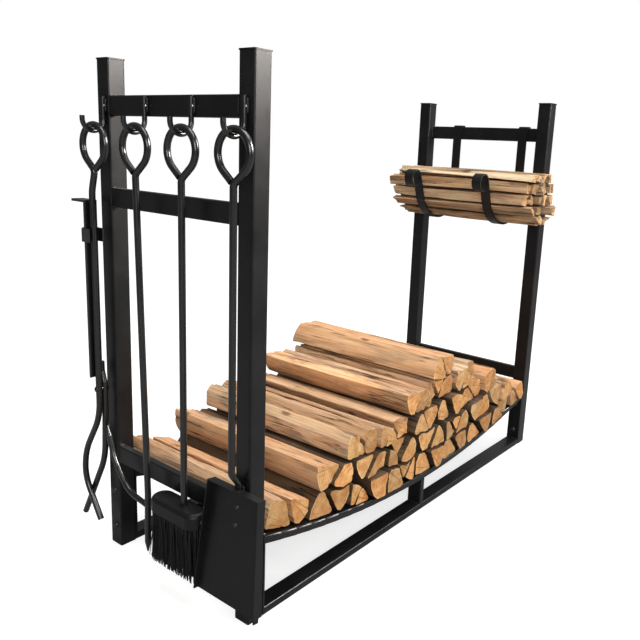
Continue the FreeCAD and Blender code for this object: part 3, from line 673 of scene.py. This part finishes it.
def split_outline(corners, chance):
    """Cut an outline in two along a steep line through its middle."""
    centre = sum(corners, Vector((0, 0))) / len(corners)
    angle = math.pi / 2 + chance.uniform(-0.7, 0.7)
    normal = Vector((-math.sin(angle), math.cos(angle)))
    parts = ([], [])
    for index, corner in enumerate(corners):
        following = corners[(index + 1) % len(corners)]
        here = (corner - centre).dot(normal)
        there = (following - centre).dot(normal)
        parts[0 if here > 0 else 1].append(corner)
        if here * there < 0:
            crossing = corner.lerp(following, here / (here - there))
            parts[0].append(crossing)
            parts[1].append(crossing)
    return [part for part in parts if len(part) >= 3]


def shortest_edge(corners):
    return min((corner - corners[index - 1]).length for index, corner in enumerate(corners))


def pieces_of(outline, chance, share, least_edge):
    """The outline itself, or, for this share of outlines, two halves with no edge too short to round."""
    if chance.random() < share:
        for _ in range(12):
            halves = split_outline(outline, chance)
            if len(halves) == 2 and min(shortest_edge(half) for half in halves) > least_edge:
                return halves
    return [outline]


def add_logs(material):
    stout_end = middle_x - 0.22
    stout_share = 0.35
    shortest_log_edge = 0.009
    uneven_ends = 0.010
    courses = {name: solids_of(name) for name in sorted(nodes) if name.startswith("log_course")}
    outlines = [outline for solids in courses.values() for outline, _, _ in solids]

    def pile_top(x):
        over = [other for other in outlines if min(p.x for p in other) < x < max(p.x for p in other)]
        return max((p.y for other in over for p in other), default=0.0)

    def is_buried(outline):
        """Whether other logs lie on this one from its left side to its right."""
        left = min(p.x for p in outline)
        right = max(p.x for p in outline)
        top = max(p.y for p in outline)
        margin = 0.006
        return all(pile_top(x) > top + margin for x in (left - margin, (left + right) / 2, right + margin))

    for name, solids in courses.items():
        chance = random.Random(name)
        builder = WoodBuilder()
        for outline, low_y, high_y in solids:
            # buried logs take the look with painted shade on their sides
            look = buried_look if is_buried(outline) else log_look
            # fewer of the logs near the tools are split, so most of them stay stout
            share = look["split"] * (stout_share if outline[0].x < stout_end else 1.0)
            for part in pieces_of(outline, chance, share, shortest_log_edge):
                builder.add_piece(part, low_y + chance.uniform(0, uneven_ends), high_y, chance, look)
        piece = builder.finish("split_" + name, material)
        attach(piece, "log_stack")
        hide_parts(name)


def add_kindling(material):
    shortest_stick_edge = 0.005
    uneven_ends = 0.016
    chance = random.Random("kindling")
    builder = WoodBuilder()
    for outline, low_y, high_y in solids_of("kindling_sticks"):
        for part in pieces_of(outline, chance, stick_look["split"], shortest_stick_edge):
            low = low_y + chance.uniform(0.0, uneven_ends)
            high = high_y - chance.uniform(0.0, uneven_ends)
            builder.add_piece(part, low, high, chance, stick_look)
    piece = builder.finish("split_kindling", material)
    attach(piece, "kindling")
    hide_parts("kindling_sticks")


# ---- brush bristles ----
def add_bristles(material):
    """Tufts of stiff bristles set in the head, slightly splayed and ragged at the tips."""
    low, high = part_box("brush_bristles")
    chance = random.Random("bristles")
    middle = (low + high) / 2
    half_x = (high.x - low.x) / 2
    half_y = (high.y - low.y) / 2
    length = high.z - low.z
    points = []
    faces = []
    tuft_pitch = 0.0062
    tuft_radius = 0.0024
    strands = 13
    splay = Vector((0.0045, 0.0040))
    stray = 0.0018
    curliness = 0.0012
    ragged = 0.13
    thickness = (0.0007, 0.0010)
    set_in = 0.0005
    margin_x = 0.0022
    margin_y = -0.0005
    sides = 3
    joints = 5
    rows = int(2 * half_x / tuft_pitch)
    columns = int(2 * half_y / tuft_pitch)

    def pair(draw, *limits):
        return Vector((draw(*limits), draw(*limits)))

    for row in range(rows):
        for column in range(columns):
            tuft = Vector((
                -half_x + (row + 0.5) * 2 * half_x / rows,
                -half_y + (column + 0.5) * 2 * half_y / columns,
            ))
            straight = max(0.0, abs(tuft.y) - (half_y - half_x))
            if tuft.x ** 2 + straight ** 2 > half_x ** 2:
                continue
            for _ in range(strands):
                root = tuft + pair(chance.uniform, -1, 1) * tuft_radius
                lean = Vector((root.x / half_x * splay.x, root.y / half_y * splay.y))
                lean += pair(chance.gauss, 0, 1) * stray
                # towards the rack's near end and its front, tips stop at the CAD bristles' own sides
                lean.x = max(lean.x, -half_x - root.x + margin_x)
                lean.y = max(lean.y, -half_y - root.y + margin_y)
                reach = length * (1.0 - ragged * chance.random() ** 1.5)
                curl = pair(chance.gauss, 0, 1) * curliness
                radius = chance.uniform(*thickness)
                faces.extend(tube_faces(len(points), joints, sides))
                for joint in range(joints + 1):
                    share = joint / joints
                    wave = math.sin(share * math.pi)
                    centre = Vector((
                        middle.x + root.x + lean.x * share ** 1.4 + curl.x * wave,
                        middle.y + root.y + lean.y * share ** 1.4 + curl.y * wave,
                        high.z + set_in - reach * share,
                    ))
                    here = radius * (1 - 0.35 * share)
                    # the strand heads down, so its rings run clockwise as seen from above
                    for side in range(sides):
                        angle = -2 * math.pi * side / sides
                        points.append(centre + Vector((math.cos(angle) * here, math.sin(angle) * here, 0)))
    piece = add_mesh("bristle_tufts", points, faces, material)
    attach(piece, "brush")
    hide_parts("brush_bristles")


# ---- weld beads on the frame ----
class BeadBuilder:
    """Small rippled beads of weld, joined in one mesh."""

    def __init__(self):
        self.points = []
        self.faces = []
        self.chance = random.Random("weld")

    def add(self, start, end, width):
        start = Vector(start)
        end = Vector(end)
        heading = (end - start).normalized()
        side = heading.orthogonal().normalized()
        other = heading.cross(side)
        length = (end - start).length
        steps = max(4, int(length / (width * 0.28)))
        sides = 8
        self.faces.extend(tube_faces(len(self.points), steps, sides))
        for step in range(steps + 1):
            share = step / steps
            swell = math.sqrt(max(0.0, 1 - (2 * share - 1) ** 6))
            ripple = 1 + 0.16 * math.sin(step * 2.1) + self.chance.uniform(-0.10, 0.10)
            radius = max(width * 0.06, width / 2 * swell * ripple)
            centre = start.lerp(end, share) + side * self.chance.uniform(-0.08, 0.08) * width
            for turn in range(sides):
                angle = 2 * math.pi * turn / sides
                self.points.append(centre + (side * math.cos(angle) + other * math.sin(angle)) * radius)

    def finish(self, name, material, body, slot):
        piece = add_mesh(name, self.points, self.faces, material)
        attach(piece, body)


def add_welds(material, tack_material):
    beads = BeadBuilder()
    tacks = BeadBuilder()
    bead = 0.0036
    hook_bead = 0.0042
    tack = 0.0030
    inset = 0.003
    small_inset = 0.002

    def across_tube(x, low, high, z):
        """A bead along Y at one end of a rail, an arc or a support."""
        beads.add((x, low.y + inset, z), (x, high.y - inset, z), bead)

    for end in ("near", "far"):
        for bar in ("top", "second", "lower"):
            low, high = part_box(end + "_" + bar + "_bar")
            inner_x = high.x if end == "near" else low.x
            outer_x = low.x if end == "near" else high.x
            for y in (low.y, high.y):
                beads.add((inner_x, y, low.z + small_inset), (inner_x, y, high.z - small_inset), bead)
                beads.add((outer_x, y, low.z + inset), (outer_x, y, high.z - inset), bead * 0.5)
                for z in (low.z, high.z):
                    beads.add((low.x + small_inset, y, z), (high.x - small_inset, y, z), bead * 0.8)
    for side in ("front", "rear"):
        low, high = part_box(side + "_centre_support")
        for x in (low.x, high.x):
            across_tube(x, low, high, low.z)
            across_tube(x, low, high, high.z - 0.001)
        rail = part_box(side + "_bottom_rail")
        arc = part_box(side + "_log_arc")
        for x in (rail[0].x, rail[1].x):
            for low, high in (rail, arc):
                across_tube(x, low, high, high.z)
    bar_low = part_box("near_top_bar")[0]
    for tool in ("shovel", "brush", "poker", "tongs"):
        low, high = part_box(tool + "_hook")
        middle = (low.y + high.y) / 2
        rod = high.y - low.y
        bead_x = high.x - 0.0012
        tack_x = high.x - 0.0035
        for y in (middle - rod * 0.42, middle + rod * 0.42):
            beads.add((bead_x, y, bar_low.z + 0.005), (bead_x, y, bar_low.z + 0.024), hook_bead)
            tacks.add((tack_x, y, bar_low.z + 0.012), (tack_x, y, bar_low.z + 0.0155), tack)
        start = (high.x - 0.003, middle - 0.002, high.z)
        beads.add(start, (high.x - 0.0008, middle + 0.002, high.z - 0.001), 0.004)
    beads.finish("weld_beads", material, "frame", "black_frame")
    tacks.finish("bare_tacks", tack_material, "frame", "bright_fastener")


# ---- carried-over CAD pieces ----
def dress_cad(materials):
    for entry in record["subparts"]:
        node = nodes[entry["node"]]
        node.data.materials.clear()
        node.data.materials.append(materials[entry["material_slot"]])


black = (0.004, 0.004, 0.0045)
lit_black = (0.008, 0.008, 0.0085)
frame_black = coated_steel(
    "frame_black", black, lit_black,
    roughness=(0.27, 0.40), specular=0.32, texture_size=0.0011, bump=0.10)
tool_black = coated_steel(
    "tool_black", (0.0035, 0.0035, 0.004), (0.007, 0.007, 0.0075),
    roughness=(0.24, 0.38), specular=0.35, texture_size=0.0014, bump=0.14, gloss_coat=0.6)
pan_black = coated_steel(
    "pan_black", black, lit_black,
    roughness=(0.36, 0.50), specular=0.26, texture_size=0.0012, bump=0.10)
strap_black = coated_steel(
    "strap_black", (0.004, 0.004, 0.005), (0.008, 0.008, 0.009),
    roughness=(0.30, 0.46), specular=0.32, texture_size=0.0013, bump=0.16)
fastener_dark = coated_steel(
    "fastener_dark", (0.010, 0.010, 0.011), (0.022, 0.022, 0.023),
    roughness=(0.25, 0.40), specular=0.5, texture_size=0.0008, bump=0.08)
weld_black = coated_steel(
    "weld_black", (0.006, 0.006, 0.006), (0.014, 0.014, 0.013),
    roughness=(0.34, 0.50), specular=0.35, texture_size=0.0009, bump=0.25)
fastener_bright = bright_steel("fastener_bright", (0.62, 0.62, 0.63), 0.22)
bristle_black = bristle_material()
log_wood = wood_material(
    "log_wood",
    side_colours=((0.84, 0.58, 0.37), (0.69, 0.42, 0.225), (0.22, 0.095, 0.042), (0.40, 0.34, 0.25)),
    end_colours=((0.90, 0.57, 0.250), (0.66, 0.310, 0.090), (0.20, 0.070, 0.022)),
    ring_width=0.0042)
kindling_wood = wood_material(
    "kindling_wood",
    side_colours=((0.74, 0.57, 0.38), (0.56, 0.40, 0.235), (0.18, 0.10, 0.05), (0.40, 0.33, 0.24)),
    end_colours=((0.98, 0.68, 0.37), (0.78, 0.46, 0.19), (0.24, 0.12, 0.05)),
    ring_width=0.0035)

add_camera()
add_studio()
dress_cad({
    "black_frame": frame_black, "black_tools": tool_black, "black_pan": pan_black, "black_strap": strap_black,
    "black_cap": frame_black, "dark_fastener": fastener_dark, "bright_fastener": fastener_bright,
    "black_brush_block": pan_black, "black_bristle": bristle_black, "split_log": log_wood,
    "split_kindling": kindling_wood,
})
add_logs(log_wood)
add_kindling(kindling_wood)
add_bristles(bristle_black)
add_welds(weld_black, fastener_bright)
